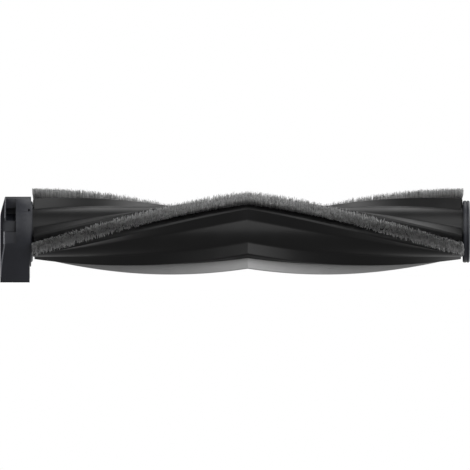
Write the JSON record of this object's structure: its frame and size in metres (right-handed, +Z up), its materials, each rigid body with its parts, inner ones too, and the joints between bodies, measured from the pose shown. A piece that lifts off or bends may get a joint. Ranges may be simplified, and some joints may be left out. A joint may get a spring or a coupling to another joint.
{
  "type": "vacuum roller brush",
  "caption": "Robot vacuum roller brush: twisted chevron core with bristle rows and a rubber wiper blade, running in a ball-bearing end block, driven by a square socket at the other end.",
  "frame": {"origin": "on the floor under the middle of the part's bounding box, level with the underside of the block's foot", "axes": "+X along the spin axis from the end block to the drive socket, +Z up, front is -Y"},
  "size_m": [0.188, 0.0344, 0.0376],
  "materials": {
    "block_plastic": "fine moulded texture, bluish black",
    "disc_plastic": "satin moulded, bluish black",
    "core_plastic": "semi-gloss moulded black",
    "rail_rubber": "extruded black",
    "bristle_nylon": "dark grey nylon filaments",
    "blade_rubber": "smooth grey elastomer",
    "bearing_steel": "ground steel"
  },
  "bodies": {
    "end_block": {"bearing_block": "block_plastic", "block_end_cover": "block_plastic", "bearing_outer_ring": "bearing_steel", "bearing_shield_left": "bearing_steel", "bearing_shield_right": "bearing_steel"},
    "roller": {"axle": "bearing_steel", "retaining_clip": "bearing_steel", "bearing_inner_ring": "bearing_steel", "left_end_flange": "disc_plastic", "right_drive_cap": "disc_plastic", "roller_core_left": "core_plastic", "roller_core_right": "core_plastic", "bristle_rail_a_left": "rail_rubber", "bristle_rail_a_right": "rail_rubber", "bristle_rail_b_left": "rail_rubber", "bristle_rail_b_right": "rail_rubber", "bristle_row_a_left": "bristle_nylon", "bristle_row_a_right": "bristle_nylon", "bristle_row_b_left": "bristle_nylon", "bristle_row_b_right": "bristle_nylon", "wiper_blade_left": "blade_rubber", "wiper_blade_right": "blade_rubber"},
    "ball_train": {"bearing_cage": "bearing_steel", "bearing_balls": "bearing_steel"}
  },
  "joints": [
    {"name": "roller_spin", "type": "hinge", "parent": "end_block", "child": "roller", "pos_m": [-0.0859, 0, 0.0204], "axis": [1, 0, 0], "continuous": true},
    {"name": "ball_train_spin", "type": "hinge", "parent": "end_block", "child": "ball_train", "pos_m": [-0.0859, 0, 0.0204], "axis": [1, 0, 0], "continuous": true}
  ],
  "couplings": [
    {"joint": "ball_train_spin", "follows": "roller_spin", "ratio": 0.36667}
  ]
}
